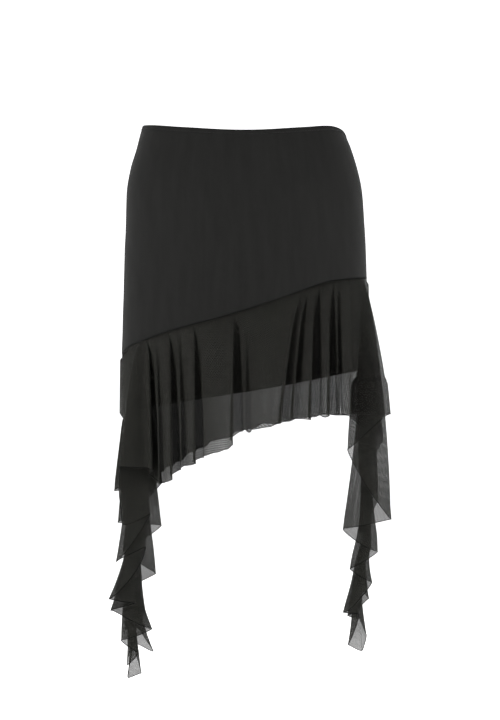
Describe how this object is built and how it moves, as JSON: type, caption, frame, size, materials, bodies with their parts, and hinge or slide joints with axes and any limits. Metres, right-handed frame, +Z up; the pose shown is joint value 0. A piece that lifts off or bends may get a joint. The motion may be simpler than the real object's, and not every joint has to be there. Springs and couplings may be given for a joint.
{
  "type": "mesh skirt",
  "caption": "Short asymmetric skirt in black mesh, open at waist and hem, with a slanted gathered flounce over a lining and a long folded drop at each side.",
  "frame": {"origin": "middle of the waist opening, level with its top edge at the sides", "axes": "+Z up, the front faces -Y, the flounce's low side is at -X and its high side at +X"},
  "size_m": [0.3621, 0.2728, 0.7169],
  "materials": {
    "waist_elastic": "black mesh turned over an elastic, matte",
    "body_mesh": "fine black stretch mesh over its lining, opaque, matte",
    "lining": "fine black knitted lining, matte",
    "flounce_mesh": "one layer of fine black stretch mesh, see-through"
  },
  "bodies": {
    "root": {"waist_casing": "waist_elastic", "body_front": "body_mesh", "body_back": "body_mesh", "lining_front": "lining", "lining_back": "lining", "flounce_front": "flounce_mesh", "flounce_back": "flounce_mesh", "low_drop_front": "flounce_mesh", "low_drop_back": "flounce_mesh", "high_drop_front": "flounce_mesh", "high_drop_back": "flounce_mesh"}
  },
  "joints": []
}
